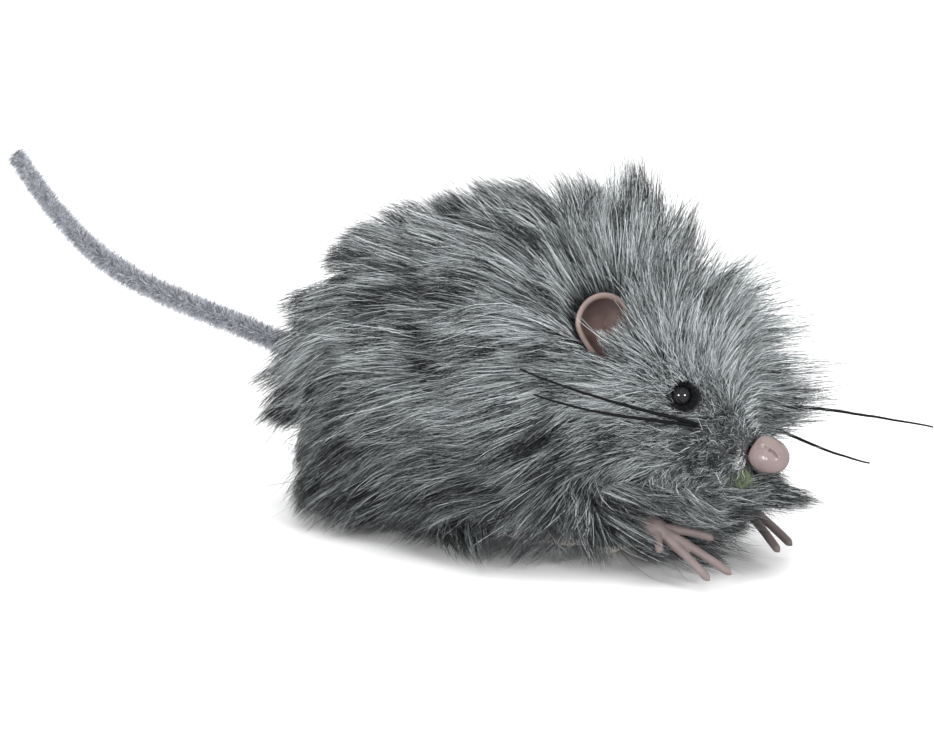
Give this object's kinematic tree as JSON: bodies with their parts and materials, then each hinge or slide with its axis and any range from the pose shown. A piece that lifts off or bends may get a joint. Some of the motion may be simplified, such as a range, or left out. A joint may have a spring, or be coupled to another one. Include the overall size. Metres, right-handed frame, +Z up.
{
  "type": "clockwork mouse",
  "caption": "Furry wind-up toy mouse with vinyl ears, nose and forepaws, bead eyes, whiskers, a chenille tail and a key-wound motor that drives its rear wheels.",
  "frame": {"origin": "on the floor, under the middle of the overall box, which runs from the tail's tip to the foremost whisker's tip", "axes": "+X forward, from tail to nose; +Y to the mouse's left; +Z up"},
  "size_m": [0.2267, 0.1004, 0.0791],
  "materials": {
    "fur": "long-pile faux fur, grey with black tips",
    "vinyl": "soft vinyl, brownish pink, satin",
    "bead": "polished black bead",
    "bristle": "black nylon bristle",
    "shell": "moulded grey styrene",
    "steel": "plated steel",
    "brass": "stamped brass",
    "nylon": "natural nylon",
    "rubber": "black rubber",
    "chenille": "grey chenille pile"
  },
  "bodies": {
    "mouse": {"fur_coat": "fur", "body_shell": "shell", "base_plate": "shell", "base_screw_1": "steel", "base_screw_2": "steel", "base_screw_3": "steel", "right_frame_plate": "steel", "left_frame_plate": "steel", "front_pillar": "steel", "middle_pillar": "steel", "spring_pillar": "steel", "roller_pin": "steel", "right_eye": "bead", "left_eye": "bead", "right_eye_washer": "steel", "left_eye_washer": "steel", "right_ear": "vinyl", "left_ear": "vinyl", "right_ear_washer": "steel", "left_ear_washer": "steel", "nose": "vinyl", "nose_washer": "steel", "right_whisker_upper": "bristle", "right_whisker_lower": "bristle", "left_whisker_upper": "bristle", "left_whisker_lower": "bristle", "right_forepaw": "vinyl", "left_forepaw": "vinyl", "tail_wire": "steel", "tail_pile": "chenille"},
    "drive_axle": {"rear_axle": "steel", "axle_pinion": "steel", "right_drive_wheel": "nylon", "left_drive_wheel": "nylon", "right_tyre": "rubber", "left_tyre": "rubber"},
    "second_shaft": {"second_arbor": "steel", "second_wheel": "brass", "second_pinion": "steel"},
    "great_gear": {"great_wheel": "brass"},
    "winding_shaft": {"winding_arbor": "steel", "click_spring": "steel", "winding_key": "steel", "mainspring": "steel"},
    "roller": {"front_roller": "nylon"}
  },
  "joints": [
    {"name": "rear_axle_spin", "type": "hinge", "parent": "mouse", "child": "drive_axle", "pos_m": [0.0035, 0, 0.012], "axis": [0, 1, 0], "continuous": true},
    {"name": "second_wheel_spin", "type": "hinge", "parent": "mouse", "child": "second_shaft", "pos_m": [0.0125, 0, 0.024], "axis": [0, 1, 0], "continuous": true},
    {"name": "great_wheel_spin", "type": "hinge", "parent": "mouse", "child": "great_gear", "pos_m": [0.02649, 0, 0.03344], "axis": [0, 1, 0], "continuous": true},
    {"name": "key_winding", "type": "hinge", "parent": "great_gear", "child": "winding_shaft", "pos_m": [0.02649, 0, 0.03344], "axis": [0, -1, 0], "range_deg": [0, 1260], "deforming": ["mainspring"]},
    {"name": "front_roller_spin", "type": "hinge", "parent": "mouse", "child": "roller", "pos_m": [0.0605, 0, 0.0046], "axis": [0, 1, 0], "continuous": true}
  ],
  "couplings": [
    {"joint": "second_wheel_spin", "follows": "rear_axle_spin", "ratio": -0.33333},
    {"joint": "great_wheel_spin", "follows": "rear_axle_spin", "ratio": 0.083333}
  ]
}
